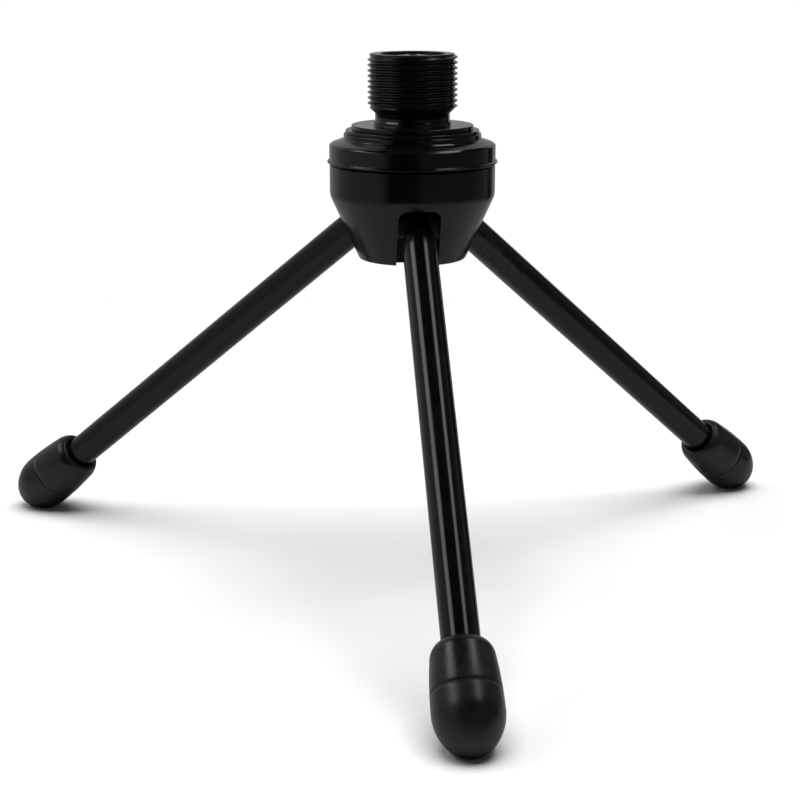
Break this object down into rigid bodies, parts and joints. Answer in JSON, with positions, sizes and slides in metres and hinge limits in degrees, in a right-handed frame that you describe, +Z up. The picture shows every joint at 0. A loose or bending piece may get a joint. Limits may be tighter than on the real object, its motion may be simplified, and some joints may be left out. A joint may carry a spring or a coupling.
{
  "type": "tabletop microphone stand",
  "caption": "Folding tabletop tripod stand for a microphone: threaded stud on a round hub, hinged rod legs with rubber feet that fold down beside each other.",
  "frame": {"origin": "on the floor, on the axis of the hub, in the middle of the three feet", "axes": "+Z up along the hub and its stud; the front leg points along -Y, the right leg 30 degrees from +X towards +Y, the left leg opposite it"},
  "size_m": [0.154, 0.1348, 0.0939],
  "materials": {
    "black_metal": "gloss black",
    "black_moulding": "half-gloss black moulding",
    "black_nylon": "dull black nylon",
    "bright_steel": "bright zinc-plated steel",
    "foot_rubber": "satin black rubber"
  },
  "bodies": {
    "hub": {"clamp_nut": "bright_steel", "clamp_screw": "bright_steel", "hub_body": "black_moulding", "hub_cap": "black_metal", "lock_washer": "bright_steel", "pin_retainer": "black_nylon", "stud_washer": "black_metal", "threaded_stud": "black_metal", "front_hinge_pin": "bright_steel", "front_hinge_washer_left": "black_nylon", "front_hinge_washer_right": "black_nylon", "left_hinge_pin": "bright_steel", "left_hinge_washer_left": "black_nylon", "left_hinge_washer_right": "black_nylon", "right_hinge_pin": "bright_steel", "right_hinge_washer_left": "black_nylon", "right_hinge_washer_right": "black_nylon"},
    "front_leg_set": {"front_leg": "black_metal", "front_foot": "foot_rubber"},
    "right_leg_set": {"right_leg": "black_metal", "right_foot": "foot_rubber"},
    "left_leg_set": {"left_leg": "black_metal", "left_foot": "foot_rubber"}
  },
  "joints": [
    {"name": "front_leg_fold", "type": "hinge", "parent": "hub", "child": "front_leg_set", "pos_m": [0, -0.0085, 0.06505], "axis": [1, 0, 0], "range_deg": [0, 51]},
    {"name": "right_leg_fold", "type": "hinge", "parent": "hub", "child": "right_leg_set", "pos_m": [0.00736, 0.00425, 0.06505], "axis": [-0.5, 0.866, 0], "range_deg": [0, 51]},
    {"name": "left_leg_fold", "type": "hinge", "parent": "hub", "child": "left_leg_set", "pos_m": [-0.00736, 0.00425, 0.06505], "axis": [-0.5, -0.866, 0], "range_deg": [0, 51]}
  ]
}
